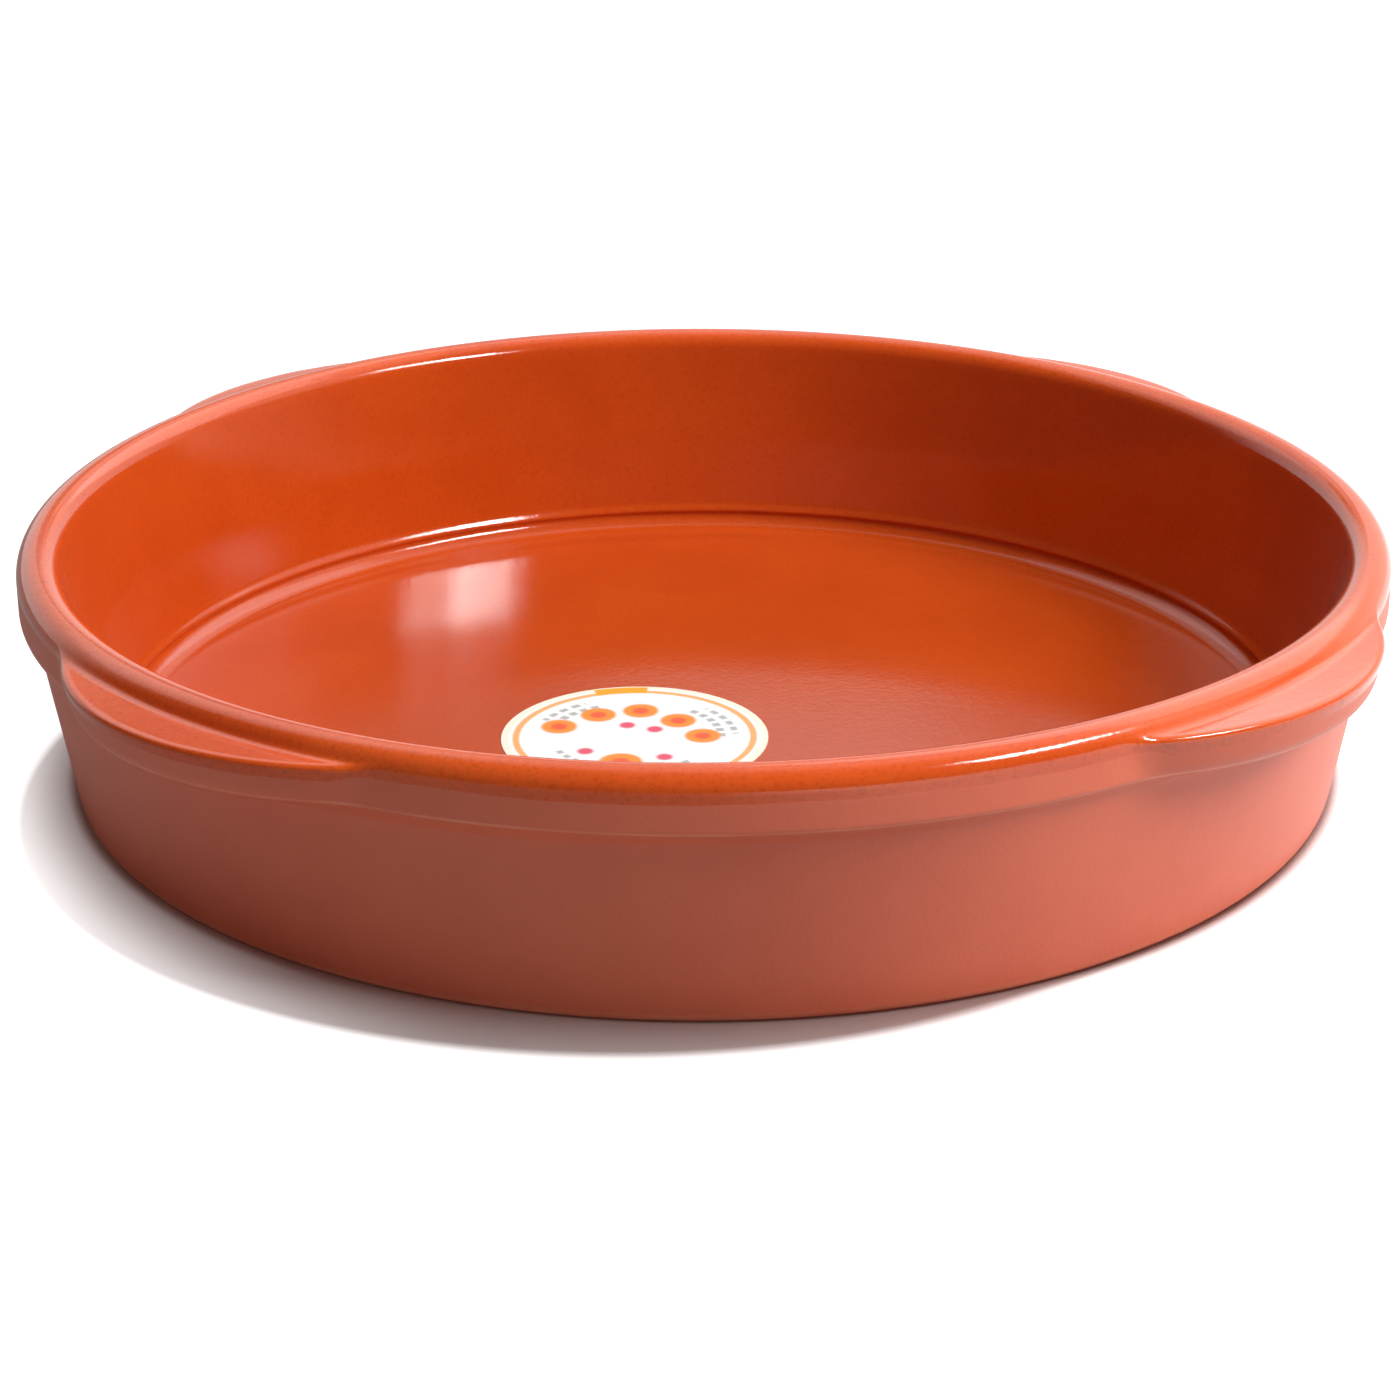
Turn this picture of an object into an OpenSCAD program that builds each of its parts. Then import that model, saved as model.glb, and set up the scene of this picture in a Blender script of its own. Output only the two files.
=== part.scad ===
// Round earthenware cazuela with four ledge lugs under its rim, and the
// round paper label that lies on its floor. Millimetres, +Z up. The origin
// is the centre of the base, on the table. The dish is one piece of clay:
// a revolved wall and floor with the lugs merged into the rim band.

/* [Bowl] */
// Diameter over the rim, lugs left out
rim_d = 320; // [240:1:420]
// Height from the table to the top of the rim
height = 59; // [50:0.1:90]
// Thickness of the rounded rim
rim_t = 9.7; // [8:0.1:12]
// Thickness of the floor
floor_t = 6.5; // [5:0.1:10]
// Lean of the inner wall from upright
inner_lean = 12.8; // [8:0.1:16]
// Radius of the cove between floor and wall
cove_r = 5; // [3:0.1:9]
// Lean of the outer wall from upright
outer_lean = 9.5; // [5:0.1:12]
// Radius of the edge round the base
base_edge_r = 2; // [1:0.1:4]

/* [Rim band] */
// Height of the band, from the top of the rim to the end of its face
band_h = 13; // [10.5:0.1:16]
// Height of the slope that runs from the face back to the wall
band_slope_h = 4; // [3:0.1:6]
// Overhang of the band over the wall
band_step = 3.4; // [2:0.1:5]
// Radius of the lower edge of the face
band_edge_r = 1; // [0.5:0.1:2]

/* [Lugs] */
// Directions of the lugs, set by hand and so not quite even
lug_turns = [47, 131, 225, 317]; // [0:1:360]
// Angle that a lug takes at the rim
lug_span = 35; // [26:1:44]
// Reach of a lug past the rim
lug_reach = 11.5; // [8:0.1:14]
// Drop of the ledge below the top of the rim
lug_drop = 3.8; // [3.2:0.1:6]
// Height of a lug, ledge to underside
lug_h = 11; // [9:0.1:13]
// Lean of the lug's outer face from upright
lug_lean = 12; // [4:0.5:18]
// Radius of the crisp upper edge
lug_edge_r = 1.2; // [0.6:0.1:2]
// Radius of the soft lower edge
lug_under_r = 6; // [4:0.1:6.6]
// Radius of the fillet between rim and ledge
lug_fillet_r = 2; // [1:0.1:3]

/* [Label] */
// Diameter of the paper label
label_d = 63.5; // [40:0.1:90]
// Thickness of the paper
label_t = 0.2; // [0.1:0.05:0.3]
// Place of the label on the floor, across
label_x = -17.3; // [-40:0.1:40]
// Place of the label on the floor, front to back
label_y = -14.6; // [-40:0.1:40]

/* [Hidden] */

// Smoothness of the revolved surfaces, and of one rounded corner
$fn = 256;
corner_steps = 8;
// Depth that merged clay is sunk into the clay that carries it
weld = 0.05;

rim_r = rim_d / 2;
bead_r = rim_t / 2;
bead_at = [rim_r - bead_r, height - bead_r];

// Where the lines of the section meet before their corners are rounded
slope_z = height - band_h - band_slope_h;
wall_top_r = rim_r - band_step;
base_r = wall_top_r - slope_z * tan(outer_lean);
brim_r = bead_at[0] - bead_r * tan((90 - inner_lean) / 2);
floor_r = brim_r - (height - floor_t) * tan(inner_lean);

// The ledge's outline is an arc about an axis inside the rim, and the lug
// is rooted half way through the wall
ledge_z = height - lug_drop;
lug_out_r = rim_r + lug_reach;
lug_axis = (pow(lug_out_r, 2) - pow(rim_r, 2)) / (2 * (lug_out_r - rim_r * cos(lug_span / 2)));
lug_r = lug_out_r - lug_axis;
lug_foot_r = lug_r - lug_h * tan(lug_lean);
lug_root_r = (brim_r + wall_top_r) / 2;

// Points along an arc of radius r about c, from angle a to angle b
function arc(c, r, a, b) =
    [for (i = [0 : corner_steps]) c + r * unit_at(a + (b - a) * i / corner_steps)];

function unit_at(a) = [cos(a), sin(a)];
function heading(p, q) = atan2(q[1] - p[1], q[0] - p[0]);
function turned(a) = a > 180 ? a - 360 : a < -180 ? a + 360 : a;

// A corner at q between p and s, rounded to radius r, as points along it
function corner(p, q, s, r) =
    let (
        a = heading(p, q),
        turn = turned(heading(q, s) - a),
        side = sign(turn) * 90,
        start = q - r * tan(abs(turn) / 2) * unit_at(a)
    )
    r == 0 ? [q] : arc(start + r * unit_at(a + side), r, a - side, a - side + turn);

// The closed outline through corners given as [across, up, radius]
function rounded(list) =
    let (n = len(list), at = [for (c = list) [c[0], c[1]]])
    [for (i = [0 : n - 1]) each corner(at[(i + n - 1) % n], at[i], at[(i + 1) % n], list[i][2])];

// Half section of the bowl: floor, cove, leaning wall, rim and stepped band
module bowl_section() {
    polygon(rounded([
        [0, 0, 0],
        [base_r, 0, base_edge_r],
        [wall_top_r, slope_z, band_edge_r],
        [rim_r, slope_z + band_slope_h, band_edge_r],
        [rim_r, height, bead_r],
        [brim_r, height, bead_r],
        [floor_r, floor_t, cove_r],
        [0, floor_t, 0]
    ]));
}

// Half section of a lug about its own axis: flat ledge, crisp edge, soft underside
module lug_section() {
    polygon(rounded([
        [0, ledge_z - lug_h, 0],
        [lug_foot_r, ledge_z - lug_h, lug_under_r],
        [lug_r, ledge_z, lug_edge_r],
        [0, ledge_z, 0]
    ]));
}

// Section of the fillet that runs from the round rim down to the ledge
module fillet_section() {
    lift = lug_fillet_r - weld;
    rise = ledge_z + lift - bead_at[1];
    run = sqrt(pow(bead_r - weld + lug_fillet_r, 2) - pow(rise, 2));
    centre = bead_at + [run, rise];
    polygon(concat(
        arc(centre, lug_fillet_r, (heading(centre, bead_at) + 360) % 360, 270),
        [[bead_at[0], centre[1] - lug_fillet_r]]
    ));
}

module lug() {
    difference() {
        translate([lug_axis, 0, 0]) rotate_extrude() lug_section();
        cylinder(r = lug_root_r, h = height);
    }
    intersection() {
        rotate_extrude() fillet_section();
        translate([lug_axis, 0, 0]) cylinder(r = lug_r - lug_edge_r, h = height);
    }
}

module dish() {
    color([0.80, 0.30, 0.13]) {
        rotate_extrude() bowl_section();
        for (turn = lug_turns) rotate(turn) lug();
    }
}

module label() {
    color([0.98, 0.96, 0.91])
        translate([label_x, label_y, floor_t]) cylinder(d = label_d, h = label_t);
}

dish();
label();
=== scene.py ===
import math

import bpy
import numpy as np
from mathutils import Matrix


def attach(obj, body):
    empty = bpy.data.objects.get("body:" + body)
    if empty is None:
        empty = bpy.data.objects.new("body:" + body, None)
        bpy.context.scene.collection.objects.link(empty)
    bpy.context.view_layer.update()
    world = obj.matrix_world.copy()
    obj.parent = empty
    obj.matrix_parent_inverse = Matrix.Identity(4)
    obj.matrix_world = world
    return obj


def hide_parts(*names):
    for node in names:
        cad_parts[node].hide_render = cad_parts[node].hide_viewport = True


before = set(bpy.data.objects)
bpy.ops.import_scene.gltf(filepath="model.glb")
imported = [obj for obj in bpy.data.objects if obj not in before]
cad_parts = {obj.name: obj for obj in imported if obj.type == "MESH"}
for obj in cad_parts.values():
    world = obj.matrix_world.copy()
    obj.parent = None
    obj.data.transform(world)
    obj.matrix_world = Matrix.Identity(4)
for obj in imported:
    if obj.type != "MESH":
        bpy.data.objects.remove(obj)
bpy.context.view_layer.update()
scene = bpy.context.scene
scene.view_settings.view_transform = "Standard"
print("frame loaded:", sorted(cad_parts))

mm = 0.001  # sizes below are in millimetres where nothing else is said, meshes in metres


def rgb(red, green, blue):
    # 0 to 255 as a screen shows it, turned into the linear colour that a shader takes
    return tuple(((c / 255 + 0.055) / 1.055) ** 2.4 if c > 10 else c / 255 / 12.92
                 for c in (red, green, blue)) + (1.0,)


# The camera has a long lens and stands a little to the left of the front.
cameraSettings = {
    "lens": 84.857,        # on a square frame
    "frameWidth": 36.0,
    "distance": 739.83,    # from the middle of the dish, along the table
    "height": 308.58,
    "turn": 3.0,           # degrees that the camera stands round to the left
    "aimLeft": 0.0755,     # degrees
    "pitch": 22.002,       # degrees down
    "roll": -0.2521,
    "clip": (0.01, 30.0),  # metres
}


def makeCamera(s):
    turn = math.radians(s["turn"])
    yaw = math.radians(s["turn"] - s["aimLeft"])
    pitch = math.radians(s["pitch"])
    roll = math.radians(s["roll"])
    ahead = np.array([math.sin(yaw) * math.cos(pitch),
                      math.cos(yaw) * math.cos(pitch),
                      -math.sin(pitch)])
    level = np.array([math.cos(yaw), -math.sin(yaw), 0.0])
    lift = np.cross(level, ahead)
    right = level * math.cos(roll) + lift * math.sin(roll)
    up = lift * math.cos(roll) - level * math.sin(roll)
    place = np.array([-s["distance"] * math.sin(turn), -s["distance"] * math.cos(turn), s["height"]])
    data = bpy.data.cameras.new("camera")
    data.lens = s["lens"]
    data.sensor_width = s["frameWidth"]
    data.clip_start, data.clip_end = s["clip"]
    camera = bpy.data.objects.new("camera", data)
    scene.collection.objects.link(camera)
    turned = np.column_stack([right, up, -ahead, place * mm])
    camera.matrix_world = Matrix([list(row) for row in turned] + [[0, 0, 0, 1]])
    scene.camera = camera
    return camera


makeCamera(cameraSettings)
print("camera placed")

# The dish is one closed surface: a section turned about the upright axis, with the lugs run into it.
dishSizes = {
    "rimRadius": 160.0,
    "height": 58.28,       # of the rim, before it wavers
    "waver": (0.6, -0.4),  # rise of the rim, as cosine and sine of twice the angle from the far side
    "waverFoot": 10.0,     # height at which the waver has died away
    "rimThick": 9.74,
    "floorThick": 6.5,
    "innerLean": 12.8,     # from the floor to the brim, taken straight
    "lowLean": 11.2,       # of its lower part, up to the bend
    "bendHeight": 31.0,
    "bendRadius": 60.0,
    "coveRadius": 5.0,
    "outerLean": 9.5,
    "baseEdge": 2.0,
    "bandHeight": 12.4,
    "bandSlope": 4.0,
    "bandStep": 3.4,
    "bandEdge": 0.9,
    "coveRidge": 0.7,      # thin ridge where the wall ends and the cove starts
    "ridgeAbove": 1.4,     # its width on the wall's side
    "ridgeBelow": 0.6,     # and on the cove's side
}
lugSizes = {
    "turns": (47.0, 131.0, 225.0, 317.0),
    "span": 35.0,
    "reach": 11.5,
    "drop": 3.8,
    "height": 11.0,
    "lean": 12.0,
    "topEdge": 1.2,
    "underEdge": 6.0,
    "blend": 2.0,          # width over which lug and rim run into each other
}

# Rows of the mesh run from the middle of the base out and up the wall, then by rays round the outside
# of the rim, and down the inner wall to the middle of the floor. Columns stand round the axis.
meshPlan = {
    "sectionPoints": 6001,
    "rayStart": (153.0, 50.0),  # point in the clay from which the outside of the rim is measured
    "rayTurns": (-84.0, -60.0, -10.0, 40.0, 90.0),  # degrees, between which the rays stand even
    "rayCounts": (7, 24, 54, 23),
    "rayLowest": 20.0,          # height above which the rays meet the outside
    "rayLongest": 45.0,
    "halvings": 30,
    "baseLift": 0.001,          # rise that ends the flat base
    "baseShares": (0.2, 0.4, 0.6, 0.8, 0.93),
    "baseEdgeRun": 1.75,        # length of the rows round the base's edge, in its radii
    "wallCounts": (8, 11),      # round the base's edge, and from there to the rays
    "bendSide": 3.0,            # length of close rows on each side of the bend
    "ridgeSides": (3.2, 2.0),   # and of the ridge, above and below
    "innerCounts": (15, 6, 7, 6, 21, 13),  # rim, wall, bend, wall, ridge, cove
    "floorShares": (0.02, 0.06, 0.15, 0.35, 0.6, 0.8),
    "lugSide": 22.0,            # degrees on each side of a lug where the columns stand close
    "closeStep": 0.5,           # degrees from column to column there
    "wideStep": 1.25,           # and elsewhere
    "countStep": 0.05,          # degrees by which that spacing is summed up
}


def roundedLine(corners, steps=24):
    # Straight runs between corners (across, up, radius); each corner is an arc that touches both runs.
    # The first and last corners stay sharp.
    points = [np.array(corners[0][:2])[None]]
    for before, here, after in zip(corners[:-2], corners[1:-1], corners[2:]):
        p, q, n = (np.array(c[:2], float) for c in (before, here, after))
        back = (p - q) / np.linalg.norm(p - q)
        on = (n - q) / np.linalg.norm(n - q)
        half = math.acos(np.clip(back @ on, -1, 1)) / 2
        centre = q + (back + on) / np.linalg.norm(back + on) * here[2] / math.sin(half)
        start = q + back * here[2] / math.tan(half) - centre
        end = q + on * here[2] / math.tan(half) - centre
        swing = math.atan2(start[0] * end[1] - start[1] * end[0], start @ end)
        t = np.linspace(0, swing, steps)[:, None]
        across = np.array([-start[1], start[0]])
        points.append(centre + start * np.cos(t) + across * np.sin(t))
    points.append(np.array(corners[-1][:2])[None])
    return np.concatenate(points)


def lengthAlong(line):
    return np.concatenate([[0], np.cumsum(np.linalg.norm(np.diff(line, axis=0), axis=1))])


def pointsAt(line, lengths):
    s = lengthAlong(line)
    return np.column_stack([np.interp(lengths, s, line[:, 0]), np.interp(lengths, s, line[:, 1])])


def evenSteps(ends, counts):
    # Even steps from each end to the next, with every end once
    runs = [np.linspace(a, b, count) for a, b, count in zip(ends[:-1], ends[1:], counts)]
    return np.concatenate([runs[0][:1]] + [run[1:] for run in runs])


def bowlSection(s):
    tanIn = math.tan(math.radians(s["innerLean"]))
    tanLow = math.tan(math.radians(s["lowLean"]))
    bead = s["rimThick"] / 2
    slopeTop = s["height"] - s["bandHeight"]
    slopeFoot = slopeTop - s["bandSlope"]
    wallTop = s["rimRadius"] - s["bandStep"]
    baseRadius = wallTop - slopeFoot * math.tan(math.radians(s["outerLean"]))
    brim = s["rimRadius"] - bead - bead * math.tan(math.radians((90 - s["innerLean"]) / 2))
    floorRadius = brim - (s["height"] - s["floorThick"]) * tanIn
    bend = floorRadius + (s["bendHeight"] - s["floorThick"]) * tanLow
    return roundedLine([
        (0, 0, 0),
        (baseRadius, 0, s["baseEdge"]),
        (wallTop, slopeFoot, s["bandEdge"]),
        (s["rimRadius"], slopeTop, s["bandEdge"]),
        (s["rimRadius"], s["height"], bead),
        (brim, s["height"], bead),
        (bend, s["bendHeight"], s["bendRadius"]),
        (floorRadius, s["floorThick"], s["coveRadius"]),
        (0, s["floorThick"], 0),
    ])


def lugReachAt(s, bowl, plan, angles, rays):
    # How far a ray from rayStart runs inside a lug. The lug is its rounded section turned about an axis
    # inside the rim, so a point is inside while it is between ledge and underside and nearer to that
    # axis than the section is wide at its height. The way out is found by halving.
    rim = bowl["rimRadius"]
    ledge = bowl["height"] - s["drop"]
    under = ledge - s["height"]
    out = rim + s["reach"]
    axis = (out ** 2 - rim ** 2) / (2 * (out - rim * math.cos(math.radians(s["span"] / 2))))
    wide = out - axis
    foot = wide - s["height"] * math.tan(math.radians(s["lean"]))
    side = roundedLine([
        (0, under, 0),
        (foot, under, s["underEdge"]),
        (wide, ledge, s["topEdge"]),
        (0, ledge, 0),
    ])[1:-1]
    centre = np.radians(s["turns"])[:, None]
    swing = np.cos(angles[None, :] - centre).max(axis=0)[:, None]  # nearest lug
    aim = np.radians(rays)[None, :]
    near = np.zeros((len(angles), len(rays)))
    far = np.full_like(near, plan["rayLongest"])

    def inside(length):
        r = plan["rayStart"][0] + length * np.cos(aim)
        z = plan["rayStart"][1] + length * np.sin(aim)
        fromAxis = np.sqrt(r ** 2 + axis ** 2 - 2 * r * axis * swing)
        return (z < ledge) & (z > under) & (fromAxis < np.interp(z, side[:, 1], side[:, 0]))

    started = inside(near)
    for _ in range(plan["halvings"]):
        middle = (near + far) / 2
        held = inside(middle)
        near = np.where(held, middle, near)
        far = np.where(held, far, middle)
    return np.where(started, near, 0.0)


def smoothMax(a, b, width):
    # The larger of two lengths, rounded off where they cross
    h = np.maximum(width - np.abs(a - b), 0) / width
    return np.maximum(a, b) + h * h * width / 4


def columnAngles(lugs, plan):
    # Columns stand close round the lugs and wider between them: their density is summed up round the
    # dish, and a column stands wherever the sum has grown by one.
    turn = 2 * math.pi
    sample = np.linspace(0, turn, round(360 / plan["countStep"]) + 1)
    toLugs = (sample[:, None] - np.radians(lugs["turns"]) + math.pi) % turn - math.pi
    gap = np.abs(toLugs).min(axis=1)
    density = np.where(gap < math.radians(plan["lugSide"]), 1 / plan["closeStep"], 1 / plan["wideStep"])
    grown = np.cumsum((density[1:] + density[:-1]) / 2 * plan["countStep"])
    total = np.concatenate([[0], grown])
    count = int(total[-1])
    return np.interp(np.arange(count) / count * total[-1], total, sample)


def dishSurface(s, lugs, plan):
    corners = bowlSection(s)
    total = lengthAlong(corners)[-1]
    lengths = np.linspace(0, total, plan["sectionPoints"])
    line = pointsAt(corners, lengths)
    startAcross, startUp = plan["rayStart"]
    fromStart = line - plan["rayStart"]
    turnOfLine = np.degrees(np.arctan2(fromStart[:, 1], fromStart[:, 0]))
    outside = (line[:, 0] > startAcross) & (line[:, 1] > plan["rayLowest"])
    rays = evenSteps(plan["rayTurns"], plan["rayCounts"])
    lowEnd, highEnd = np.interp(rays[[0, -1]], turnOfLine[outside], lengths[outside])
    angles = columnAngles(lugs, plan)

    # the ray lengths to the plain bowl, then with the lugs run into them
    plain = np.interp(rays, turnOfLine[outside], np.hypot(fromStart[:, 0], fromStart[:, 1])[outside])
    outer = smoothMax(plain[None, :], lugReachAt(lugs, s, plan, angles, rays), lugs["blend"])
    aim = np.radians(rays)
    outerRadius = startAcross + outer * np.cos(aim)
    outerHeight = startUp + outer * np.sin(aim)

    # rows that are the same all round: base and wall below the rays, bead, inner wall, cove and floor
    bead = s["rimThick"] / 2
    top = np.argmax(line[:, 1])
    baseRun = np.interp(plan["baseLift"], line[:top, 1], lengths[:top])
    edgeEnd = baseRun + s["baseEdge"] * plan["baseEdgeRun"]
    innerTop = np.interp(bead - s["height"], -line[top:, 1], lengths[top:])
    coveEnd = total - corners[-2, 0]
    coveStart = coveEnd - s["coveRadius"] * math.radians(90 - s["lowLean"])
    bend = np.interp(-s["bendHeight"], -line[top:, 1], lengths[top:])
    innerEnds = (highEnd, innerTop, bend - plan["bendSide"], bend + plan["bendSide"],
                 coveStart - plan["ridgeSides"][0], coveStart + plan["ridgeSides"][1], coveEnd)
    below = np.concatenate([baseRun * np.array(plan["baseShares"]),
                            evenSteps((baseRun, edgeEnd, lowEnd), plan["wallCounts"])[:-1]])
    above = np.concatenate([evenSteps(innerEnds, plan["innerCounts"])[1:],
                            coveEnd + (total - coveEnd) * np.array(plan["floorShares"])])
    belowRows = pointsAt(corners, below)
    aboveRows = pointsAt(corners, above)

    # The ridge across the start of the cove, pushed along the wall's normal. Its height is coveRidge
    # times e to the power of minus the square of the distance from the start over its width.
    offset = above - coveStart
    wide = np.where(offset < 0, s["ridgeAbove"], s["ridgeBelow"])
    push = s["coveRidge"] * np.exp(-(offset / wide) ** 2)
    lean = math.radians(s["lowLean"])
    aboveRows = aboveRows + push[:, None] * np.array([-math.cos(lean), math.sin(lean)])

    def allRound(row):
        return np.tile(row, (len(angles), 1))

    radius = np.concatenate([allRound(belowRows[:, 0]), outerRadius, allRound(aboveRows[:, 0])], axis=1)
    height = np.concatenate([allRound(belowRows[:, 1]), outerHeight, allRound(aboveRows[:, 1])], axis=1)

    # the rim's waver, full at the rim and dying away towards the floor
    fromFar = math.radians(90 - cameraSettings["turn"]) - angles
    rise = s["waver"][0] * np.cos(2 * fromFar) + s["waver"][1] * np.sin(2 * fromFar)
    share = np.clip((height - s["waverFoot"]) / (s["height"] - s["waverFoot"]), 0, 1)
    height = height + rise[:, None] * share

    x = radius * np.cos(angles)[:, None]
    y = radius * np.sin(angles)[:, None]
    grid = np.stack([x, y, height], axis=-1)
    outsideRows = np.zeros(grid.shape[1])
    outsideRows[:len(below) + len(rays)] = 1.0
    return grid, outsideRows


def closedTurn(name, grid, lowPole, highPole):
    # Quads between neighbouring rows and columns, round and round, and a fan of triangles at each pole
    columns, rows = grid.shape[:2]
    points = np.concatenate([grid.reshape(-1, 3), [lowPole, highPole]]) * mm
    index = np.arange(columns * rows).reshape(columns, rows)
    after = np.roll(index, -1, axis=0)
    quads = np.stack([index[:, :-1], after[:, :-1], after[:, 1:], index[:, 1:]], axis=-1).reshape(-1, 4)
    lowFan = np.stack([np.full(columns, columns * rows), after[:, 0], index[:, 0]], axis=-1)
    highFan = np.stack([np.full(columns, columns * rows + 1), index[:, -1], after[:, -1]], axis=-1)
    corners = np.concatenate([quads.ravel(), lowFan.ravel(), highFan.ravel()])
    sizes = np.concatenate([np.full(len(quads), 4), np.full(2 * columns, 3)])
    mesh = bpy.data.meshes.new(name)
    mesh.vertices.add(len(points))
    mesh.vertices.foreach_set("co", points.ravel().astype(np.float32))
    mesh.loops.add(len(corners))
    mesh.loops.foreach_set("vertex_index", corners.astype(np.int32))
    mesh.polygons.add(len(sizes))
    starts = np.concatenate([[0], np.cumsum(sizes)[:-1]])
    mesh.polygons.foreach_set("loop_start", starts.astype(np.int32))
    mesh.polygons.foreach_set("use_smooth", np.ones(len(sizes), bool))
    mesh.update(calc_edges=True)
    mesh.validate()
    piece = bpy.data.objects.new(name, mesh)
    scene.collection.objects.link(piece)
    return piece


grid, outsideRows = dishSurface(dishSizes, lugSizes, meshPlan)
dish = closedTurn("clay_dish", grid, (0, 0, 0), (0, 0, dishSizes["floorThick"]))

# The mark is 1 on the outside, with the pole of the base, and 0 inside, with the pole of the floor.
outsideMark = dish.data.attributes.new("outside", "FLOAT", "POINT")
outsideValues = np.concatenate([np.tile(outsideRows, grid.shape[0]), [1.0, 0.0]])
outsideMark.data.foreach_set("value", outsideValues.astype(np.float32))
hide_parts("dish")
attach(dish, "root")
print("dish made:", grid.shape, "triangles", sum(len(p.vertices) - 2 for p in dish.data.polygons))


class Nodes:
    # Short hand for adding shader nodes to one material or to the world. A value given to it is either
    # the output of another node or a number or colour.
    def __init__(self, owner):
        owner.use_nodes = True
        self.tree = owner.node_tree
        self.coordinates = self.add("ShaderNodeTexCoord").outputs
        self.place = self.coordinates["Object"]

    def add(self, kind):
        return self.tree.nodes.new(kind)

    def link(self, source, target):
        if isinstance(source, bpy.types.NodeSocket):
            self.tree.links.new(source, target)
        else:
            target.default_value = source

    def math(self, kind, a, b=0.0):
        node = self.add("ShaderNodeMath")
        node.operation = kind
        self.link(a, node.inputs[0])
        self.link(b, node.inputs[1])
        return node.outputs[0]

    def product(self, first, *others):
        for other in others:
            first = self.math("MULTIPLY", first, other)
        return first

    def ramp(self, value, low, high, start=0.0, end=1.0, kind="SMOOTHSTEP"):
        # Runs from start to end while value goes from low to high
        node = self.add("ShaderNodeMapRange")
        node.interpolation_type = kind
        for socket, source in zip(node.inputs, (value, low, high, start, end)):
            self.link(source, socket)
        return node.outputs["Result"]

    def noise(self, scale, detail=2.0, roughness=0.5):
        node = self.add("ShaderNodeTexNoise")
        self.link(self.place, node.inputs["Vector"])
        node.inputs["Scale"].default_value = scale
        node.inputs["Detail"].default_value = detail
        node.inputs["Roughness"].default_value = roughness
        return node.outputs["Fac"]

    def mix(self, factor, a, b):
        node = self.add("ShaderNodeMix")
        node.data_type = "RGBA"
        self.link(factor, node.inputs["Factor"])
        self.link(a, node.inputs["A"])
        self.link(b, node.inputs["B"])
        return node.outputs["Result"]

    def bump(self, height, depth, strength, under=None):
        node = self.add("ShaderNodeBump")
        node.inputs["Strength"].default_value = strength
        node.inputs["Distance"].default_value = depth * mm
        self.link(height, node.inputs["Height"])
        if under:
            self.link(under, node.inputs["Normal"])
        return node.outputs["Normal"]

    def split(self, place):
        node = self.add("ShaderNodeSeparateXYZ")
        self.link(place, node.inputs[0])
        return [node.outputs[axis] for axis in "XYZ"]

    def distance(self, x, y):
        return self.math("SQRT", self.math("ADD", self.product(x, x), self.product(y, y)))


# A noise is given as scale, detail and roughness, and where it shows as the values between which it
# sets in. A bump is given as depth and strength.
clayLook = {
    "glaze": rgb(200, 76, 20),
    "glazeDeep": rgb(191, 69, 16),       # where it lies thicker
    "glazeSpeck": rgb(176, 60, 14),
    "litRimGlaze": rgb(231, 93, 36),       # paler over the rim and lugs, painted light that brightens them
    "litRimGlazeDeep": rgb(221, 83, 28),
    "litRimFrom": (149.5, 153.5),          # radius at which the painted lighter glaze starts
    "bare": rgb(234, 116, 83),
    "bareDeep": rgb(221, 103, 72),
    "bareHighlight": rgb(250, 156, 124),      # painted highlight along the band's lower edge and round the foot
    "cloudNoise": (14, 4, 0.6),
    "cloudShows": (0.35, 0.7),
    "speckNoise": (900, 2, 0.7),
    "speckShows": (0.45, 0.75),
    "speckMost": 0.4,
    "clayNoise": (10, 4, 0.6),
    "clayShows": (0.35, 0.7),
    "sandNoise": (700, 3, 0.8),
    "sandShows": (0.5, 0.85),
    "sandMost": 0.5,
    "edgeHeight": 45.9,                  # the painted highlight along the band's lower edge
    "edgeWide": 0.55,
    "edgeFade": (0.3, 1.0),              # in its widths
    "edgeMost": 0.7,
    "edgeRadius": (158.5, 159.5),        # it shows outside this
    "footHeight": (0.8, 2.6),            # the painted highlight round the foot
    "footMost": 0.6,
    "highlightNoise": (45, 3, 0.6),
    "highlightShows": (0.3, 0.6),
    "highlightLeast": 0.35,
    "glazeRoughness": 0.11,
    "bareRoughness": 0.45,
    "glazeLine": 52.3,                   # height of the glaze edge on the band
    "lugLine": 51.0,                     # and on the lugs, which it runs round a little lower
    "lugFrom": (160.5, 162.5),           # radius at which the lugs start
    "lineWander": 0.5,
    "wanderNoise": (60, 3),
    "lineSoft": (-0.25, 0.35),
    "ior": 1.6,
    "sheen": 0.03,
    "sheenRoughness": 0.4,
    "waveNoise": (300, 2, 0.5),          # a fine orange peel in the glaze, in two sizes
    "waveBump": (0.03, 0.6),
    "peelNoise": (1000, 2, 0.6),
    "peelBump": (0.05, 0.6),
    "grainNoise": (1100, 3, 0.7),        # grain of the bare clay
    "grainBump": (0.06, 0.8),
}


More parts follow.
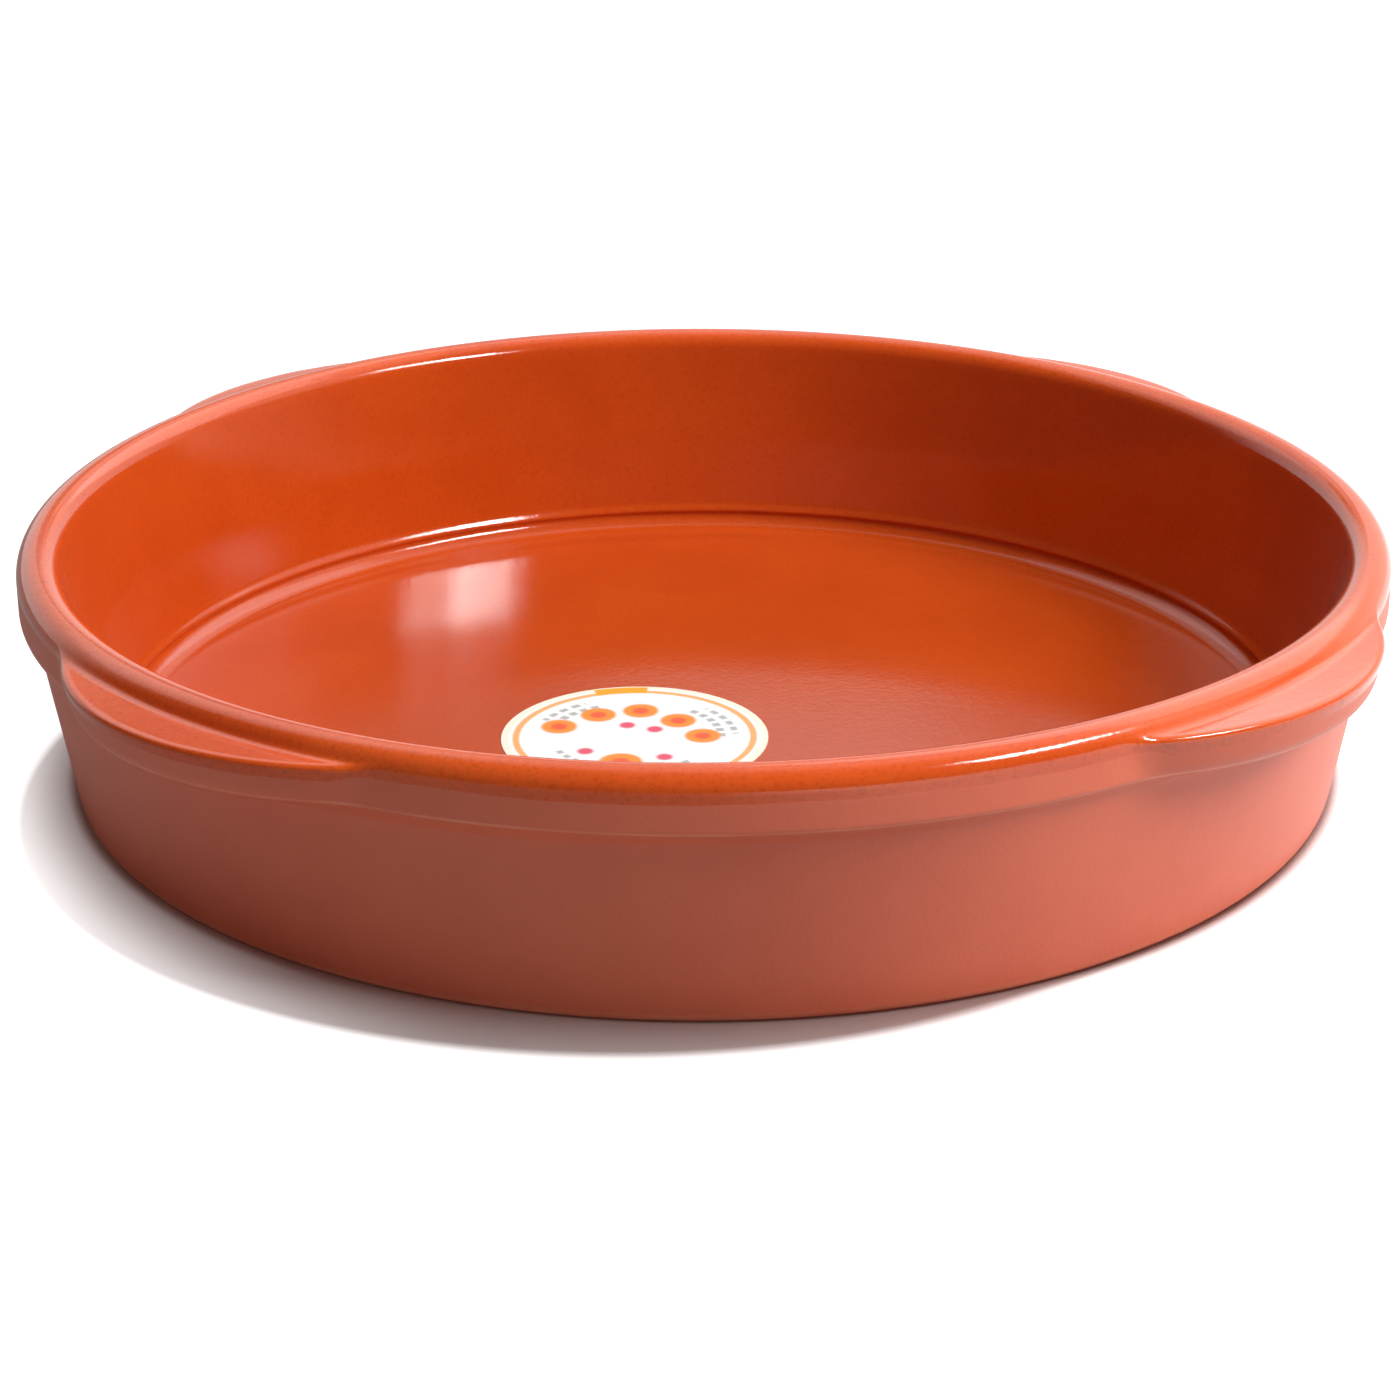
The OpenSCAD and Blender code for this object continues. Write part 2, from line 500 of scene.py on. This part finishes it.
def clayMaterial(s):
    material = bpy.data.materials.new("glazed_clay")
    n = Nodes(material)
    shader = n.tree.nodes["Principled BSDF"].inputs
    x, y, height = n.split(n.place)
    radius = n.distance(x, y)
    outside = n.add("ShaderNodeAttribute")
    outside.attribute_name = "outside"

    def between(ends):
        return [end * mm for end in ends]

    # the glaze stops on the rim band, in a line that wanders a little
    wander = n.product(n.math("SUBTRACT", n.noise(*s["wanderNoise"]), 0.5), 2 * s["lineWander"] * mm)
    level = n.ramp(radius, *between(s["lugFrom"]), s["glazeLine"] * mm, s["lugLine"] * mm)
    over = n.math("SUBTRACT", height, n.math("ADD", level, wander))
    covered = n.ramp(over, *between(s["lineSoft"]))
    bare = n.product(n.math("SUBTRACT", 1.0, covered), outside.outputs["Fac"])

    # the glaze is darker where it lies thicker, and speckled by the clay under it
    cloud = n.ramp(n.noise(*s["cloudNoise"]), *s["cloudShows"])
    thick = n.mix(cloud, s["glaze"], s["glazeDeep"])
    # over the rim and lugs the glaze is paler, painted light that brightens them
    litRim = n.mix(cloud, s["litRimGlaze"], s["litRimGlazeDeep"])
    glaze = n.mix(n.ramp(radius, *between(s["litRimFrom"])), thick, litRim)
    speck = n.ramp(n.noise(*s["speckNoise"]), *s["speckShows"], 0.0, s["speckMost"])
    glaze = n.mix(speck, glaze, s["glazeSpeck"])

    # the bare clay is cloudy and sandy, with a painted highlight, broken up by noise, along the band's
    # lower edge and round the foot
    clay = n.mix(n.ramp(n.noise(*s["clayNoise"]), *s["clayShows"]), s["bare"], s["bareDeep"])
    sand = n.ramp(n.noise(*s["sandNoise"]), *s["sandShows"], 0.0, s["sandMost"])
    clay = n.mix(sand, clay, s["bareDeep"])
    fromEdge = n.math("SUBTRACT", height, s["edgeHeight"] * mm)
    fromEdge = n.math("ABSOLUTE", n.math("DIVIDE", fromEdge, s["edgeWide"] * mm))
    edge = n.ramp(fromEdge, *s["edgeFade"], s["edgeMost"], 0.0)
    edge = n.product(edge, n.ramp(radius, *between(s["edgeRadius"])))
    foot = n.ramp(height, *between(s["footHeight"]), s["footMost"], 0.0)
    patchy = n.ramp(n.noise(*s["highlightNoise"]), *s["highlightShows"], s["highlightLeast"], 1.0)
    clay = n.mix(n.product(n.math("MAXIMUM", edge, foot), patchy), clay, s["bareHighlight"])

    n.link(n.mix(bare, glaze, clay), shader["Base Color"])
    roughness = n.ramp(bare, 0, 1, s["glazeRoughness"], s["bareRoughness"], "LINEAR")
    n.link(roughness, shader["Roughness"])
    shader["IOR"].default_value = s["ior"]
    shader["Sheen Weight"].default_value = s["sheen"]
    shader["Sheen Roughness"].default_value = s["sheenRoughness"]
    wave = n.bump(n.noise(*s["waveNoise"]), *s["waveBump"])
    peel = n.bump(n.noise(*s["peelNoise"]), *s["peelBump"], wave)
    grain = n.bump(n.product(n.noise(*s["grainNoise"]), bare), *s["grainBump"], peel)
    n.link(grain, shader["Normal"])
    return material


dish.data.materials.append(clayMaterial(clayLook))
print("clay material made")

# The label is the CAD disc with a print of plain shapes. Places on it count in label radii from its
# middle, across and away from the viewer, and angles in degrees.
labelLook = {
    "middle": (-17.3, -14.6),
    "radius": 31.75,
    "tilt": -14.0,                        # degrees that the print is turned
    "soft": 0.02,                         # blur of the print
    "turnSoft": (1.0, 0.8, 0.6),          # and of the ends of a row, the arc and a dash, in degrees
    "paper": rgb(255, 255, 253),
    "wash": rgb(240, 247, 247),
    "washNoise": (160, 3),
    "washShows": (0.4, 0.7),
    "margin": rgb(252, 243, 224),
    "marginFrom": (0.93, 0.96),
    "ringEdges": (0.865, 0.915),
    "ringColour": rgb(252, 176, 108),
    "arc": (0.865, 0.985, 96.0, 121.0),   # inner and outer radius, first and last angle
    "arcColour": rgb(252, 168, 30),
    "discs": ((-0.36, 0.36, 0.135), (-0.06, 0.5, 0.135), (0.26, 0.36, 0.135), (0.5, 0.1, 0.135),
              (-0.6, 0.08, 0.135), (0.0, -0.5, 0.16)),
    "discColour": rgb(250, 146, 52),
    "discMiddle": rgb(240, 92, 56),
    "middleShare": 0.45,                  # of the disc's size
    "pips": ((-0.1, 0.2, 0.06), (0.12, 0.16, 0.06), (-0.3, -0.35, 0.06), (0.3, -0.35, 0.06)),
    "pipColour": rgb(228, 84, 112),
    "dashRows": ((0.62, 0.68, 8.0, 62.0), (0.73, 0.78, 14.0, 56.0), (0.62, 0.68, 126.0, 172.0),
                 (0.73, 0.78, 132.0, 166.0), (0.6, 0.65, 215.0, 325.0)),
    "dashPitch": 9.0,                     # from one dash to the next
    "dashEnds": (0.12, 0.72),             # in pitches
    "dashColour": rgb(178, 184, 184),
    "roughness": 0.4,
    "fibreNoise": (900, 3, 0.6),
    "fibreBump": (0.02, 0.5),
}


def labelMaterial(s):
    material = bpy.data.materials.new("printed_paper")
    n = Nodes(material)
    shader = n.tree.nodes["Principled BSDF"].inputs
    turned = n.add("ShaderNodeMapping")
    turned.vector_type = "TEXTURE"
    turned.inputs["Location"].default_value = (s["middle"][0] * mm, s["middle"][1] * mm, 0)
    turned.inputs["Rotation"].default_value = (0, 0, math.radians(s["tilt"]))
    turned.inputs["Scale"].default_value = (s["radius"] * mm, s["radius"] * mm, 1)
    n.link(n.place, turned.inputs["Vector"])
    across, away = n.split(turned.outputs["Vector"])[:2]
    radius = n.distance(across, away)
    angle = n.product(n.math("ARCTAN2", away, across), 180 / math.pi)
    angle = n.math("FLOORED_MODULO", angle, 360.0)
    soft = s["soft"]
    rowSoft, arcSoft, dashSoft = s["turnSoft"]

    def within(value, low, high, blur):
        return n.product(n.ramp(value, low - blur, low + blur),
                         n.ramp(value, high - blur, high + blur, 1, 0))

    def ringPart(low, high, first, last, blur):
        return n.product(within(angle, first, last, blur), within(radius, low, high, soft / 2))

    def disc(x, y, size):
        gap = n.distance(n.math("SUBTRACT", across, x), n.math("SUBTRACT", away, y))
        return n.ramp(gap, size - soft, size + soft, 1, 0)

    paper = n.mix(n.ramp(n.noise(*s["washNoise"]), *s["washShows"]), s["paper"], s["wash"])
    colour = n.mix(n.ramp(radius, *s["marginFrom"]), paper, s["margin"])
    dashStart, dashEnd = (share * s["dashPitch"] for share in s["dashEnds"])
    along = n.math("FLOORED_MODULO", angle, s["dashPitch"])
    dash = within(along, dashStart, dashEnd, dashSoft)
    marks = [(n.product(ringPart(*row, rowSoft), dash), s["dashColour"]) for row in s["dashRows"]]
    marks.append((within(radius, *s["ringEdges"], soft / 2), s["ringColour"]))
    marks.append((ringPart(*s["arc"], arcSoft), s["arcColour"]))
    for x, y, size in s["discs"]:
        marks.append((disc(x, y, size), s["discColour"]))
        marks.append((disc(x, y, size * s["middleShare"]), s["discMiddle"]))
    for pip in s["pips"]:
        marks.append((disc(*pip), s["pipColour"]))
    for share, ink in marks:
        colour = n.mix(share, colour, ink)
    n.link(colour, shader["Base Color"])
    shader["Roughness"].default_value = s["roughness"]
    n.link(n.bump(n.noise(*s["fibreNoise"]), *s["fibreBump"]), shader["Normal"])
    return material


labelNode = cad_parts["label"]
labelNode.data.materials.clear()
labelNode.data.materials.append(labelMaterial(labelLook))
print("label material made")

# The floor is pale and runs into pure white past the shadow. Sizes are in metres here, and a pair
# such as footRadius says where that starts and ends.
floorSettings = {
    "rings": (0.2, 0.4, 0.8, 1.6, 3.0, 6.0),
    "ringPoints": 96,
    "colour": rgb(239, 236, 235),
    "mirrored": rgb(96, 90, 87),         # as the dish mirrors it, on the left and in front
    "brightSide": (-0.04, 0.14),         # from left to right, where the mirrored floor gets brighter
    "brightShare": (0.2, 1.0),
    "footRadius": (0.1495, 0.153),       # from the middle of the dish
    "shadowMiddle": (-0.0171, -0.0204),
    "shadowRadius": (0.1395, 0.1452),    # from the middle of the shadow
    "leftSide": (-0.05, -0.165),         # from right to left, where the white glow paints the shadow lighter
    "leftRadius": (0.143, 0.176),
    "roughness": 0.9,
}


def floorMaterial(s):
    material = bpy.data.materials.new("floor_white")
    n = Nodes(material)
    shader = n.tree.nodes["Principled BSDF"].inputs
    x, y = n.split(n.place)[:2]
    fromDish = n.distance(x, y)
    middleX, middleY = s["shadowMiddle"]
    fromShadow = n.distance(n.math("SUBTRACT", x, middleX), n.math("SUBTRACT", y, middleY))
    # On the left the white glow reaches into the shadow and paints it lighter.
    left = n.product(n.ramp(fromDish, *s["leftRadius"]), n.ramp(x, *s["leftSide"]))
    pastShadow = n.math("MAXIMUM", n.ramp(fromShadow, *s["shadowRadius"]), left)
    white = n.product(n.ramp(fromDish, *s["footRadius"]), pastShadow)

    # white for the camera and in part for the glaze, and for the glaze otherwise dim
    path = n.add("ShaderNodeLightPath").outputs
    bright = n.product(path["Is Glossy Ray"], n.ramp(x, *s["brightSide"], *s["brightShare"]))
    dim = n.math("SUBTRACT", path["Is Glossy Ray"], bright)
    seen = n.math("MAXIMUM", path["Is Camera Ray"], bright)
    seen = n.math("MAXIMUM", seen, path["Is Transmission Ray"])
    n.link(n.mix(dim, s["colour"], s["mirrored"]), shader["Base Color"])
    shader["Roughness"].default_value = s["roughness"]
    shader["Specular IOR Level"].default_value = 0.0
    shader["Emission Color"].default_value = (1, 1, 1, 1)
    n.link(n.product(seen, white), shader["Emission Strength"])
    return material


def makeFloor(s):
    # A flat disc of rings about the origin
    around = np.linspace(0, 2 * math.pi, s["ringPoints"] + 1)[:-1]
    rings = np.array(s["rings"])
    x = rings[:, None] * np.cos(around)
    y = rings[:, None] * np.sin(around)
    points = np.concatenate([np.stack([x, y, np.zeros_like(x)], -1).reshape(-1, 3), [[0, 0, 0]]])
    index = np.arange(len(rings) * len(around)).reshape(len(rings), -1)
    after = np.roll(index, -1, axis=1)
    quads = np.stack([index[:-1], index[1:], after[1:], after[:-1]], axis=-1).reshape(-1, 4)
    fan = np.stack([np.full(len(around), len(points) - 1), index[0], after[0]], axis=-1)
    mesh = bpy.data.meshes.new("floor")
    mesh.from_pydata(points.tolist(), [], quads.tolist() + fan.tolist())
    floor = bpy.data.objects.new("floor", mesh)
    scene.collection.objects.link(floor)
    mesh.materials.append(floorMaterial(s))
    return floor


# Directions in the surroundings are parts of a length of 1: across to the right, away and up. Each
# pair says where in them something starts and ends, and gloss is brightness as the glaze mirrors it.
worldSettings = {
    "fill": 0.045,                 # as light on the dish
    "nearGloss": 0.03,             # behind the camera
    "farTurn": 0.45,               # share of across by which the far side is turned to the right
    "farFrom": (-0.1, 0.45),
    "lowGloss": (0.3, 1.0),        # of the far side's horizon, at the sides and in the middle
    "lowFrom": (0.2, 0.6),         # away
    "highFrom": (0.28, 0.36),      # up
    "highGloss": (0.9, 1.0),       # of the far side above the horizon, left and right
    "highAcross": (-0.16, 0.26),
    "panelLeft": (-0.03, 0.05),    # bright panel over the rim, which gives the haze on the dish's floor
    "panelRight": (0.11, 0.145),
    "panelLow": (0.372, 0.379),
    "besideGloss": 0.2,            # share that is left beside the panel
    "besideAcross": (0.14, 0.175),  # to both sides
    "besideHigh": (0.41, 0.47),
}


def makeWorld(s):
    # White to the eye. The glaze mirrors it bright on the far side and dim behind the camera, as in a
    # room with one white wall, and as light on the dish it is an even fill.
    world = bpy.data.worlds.new("surroundings")
    scene.world = world
    n = Nodes(world)
    background = n.tree.nodes["Background"].inputs
    background["Color"].default_value = (1, 1, 1, 1)
    across, away, up = n.split(n.coordinates["Generated"])
    panel = n.product(n.ramp(across, *s["panelLeft"]), n.ramp(across, *s["panelRight"], 1.0, 0.0),
                      n.ramp(up, *s["panelLow"]))
    toSides = n.math("ABSOLUTE", across)
    beside = n.product(n.ramp(toSides, *s["besideAcross"], 1.0, 0.0),
                       n.ramp(up, *s["besideHigh"], 1.0, 0.0), n.math("SUBTRACT", 1.0, panel))
    high = n.product(n.ramp(across, *s["highAcross"], *s["highGloss"]),
                     n.ramp(beside, 0.0, 1.0, 1.0, s["besideGloss"]))
    low = n.ramp(away, *s["lowFrom"], *s["lowGloss"])
    far = n.ramp(up, *s["highFrom"], low, high)
    turned = n.math("ADD", away, n.product(across, s["farTurn"]))
    mirrored = n.ramp(turned, *s["farFrom"], s["nearGloss"], far)
    path = n.add("ShaderNodeLightPath").outputs
    lit = n.ramp(path["Is Glossy Ray"], 0.0, 1.0, s["fill"], mirrored)
    lit = n.ramp(path["Is Transmission Ray"], 0.0, 1.0, lit, 1.0)
    lit = n.ramp(path["Is Camera Ray"], 0.0, 1.0, lit, 1.0)
    n.link(lit, background["Strength"])


# Azimuth counts from the far side of the dish to the right, as the camera sees it, in degrees. Sizes
# are in metres. A lamp lights the dish, or the dish and the floor, or the glaze only mirrors it.
lamps = {
    "key": {"azimuth": 103, "elevation": 40, "distance": 1.6, "size": (0.8, 0.6),
            "power": 23.6, "use": "dish"},
    "window": {"azimuth": 124, "elevation": 43.7, "distance": 1.5, "size": (0.3, 0.2),
               "power": 9.2, "use": "mirrored"},
    "windowEdge": {"azimuth": 111.5, "elevation": 43.7, "distance": 1.5, "size": (0.34, 0.2),
                   "power": 4.5, "use": "mirrored"},
    "ceiling": {"azimuth": 100, "elevation": 79, "distance": 1.5, "size": (1.1, 1.1),
                "power": 12.9, "use": "dish and floor"},
    "overhead": {"azimuth": 100, "elevation": 79, "distance": 1.5, "size": (1.1, 1.1),
                 "power": 4.5, "use": "dish"},
    "lowFront": {"azimuth": 135, "elevation": 1.6, "distance": 1.8, "size": (1.6, 0.09),
                 "power": 2.8, "use": "dish"},
    "lowLeft": {"azimuth": 248, "elevation": 1.6, "distance": 1.8, "size": (1.6, 0.09),
                "power": 2.2, "use": "dish"},
    "farRight": {"azimuth": 40, "elevation": 41, "distance": 2.0, "size": (1.95, 1.2),
                 "power": 8.5, "use": "mirrored"},
    "farLeft": {"azimuth": -42, "elevation": 44, "distance": 2.0, "size": (1.4, 1.0),
                "power": 1.8, "use": "mirrored"},
    "sideWall": {"azimuth": 50, "elevation": 8, "distance": 1.8, "size": (2.0, 0.6),
                 "power": 3.4, "use": "dish"},
}


def makeLamp(name, s):
    around = math.radians(s["azimuth"] + cameraSettings["turn"])
    up = math.radians(s["elevation"])
    away = np.array([math.sin(around) * math.cos(up), math.cos(around) * math.cos(up), math.sin(up)])
    data = bpy.data.lights.new(name, "AREA")
    data.shape = "RECTANGLE"
    data.size, data.size_y = s["size"]
    data.energy = s["power"]
    lamp = bpy.data.objects.new(name, data)
    scene.collection.objects.link(lamp)
    right = np.array([-math.cos(around), math.sin(around), 0.0])
    lift = np.cross(away, right)
    turned = np.column_stack([right, lift, away, away * s["distance"]])
    lamp.matrix_world = Matrix([list(row) for row in turned] + [[0, 0, 0, 1]])
    lamp.visible_diffuse = s["use"] != "mirrored"
    lamp.visible_glossy = s["use"] == "mirrored"
    if s["use"] != "dish and floor":
        lit = bpy.data.collections.new(name + "Lit")
        for piece in (dish, labelNode):
            lit.objects.link(piece)
        lamp.light_linking.receiver_collection = lit
    return lamp


makeFloor(floorSettings)
makeWorld(worldSettings)
for lampName, lampSettings in lamps.items():
    makeLamp(lampName, lampSettings)
print("floor and lamps placed")
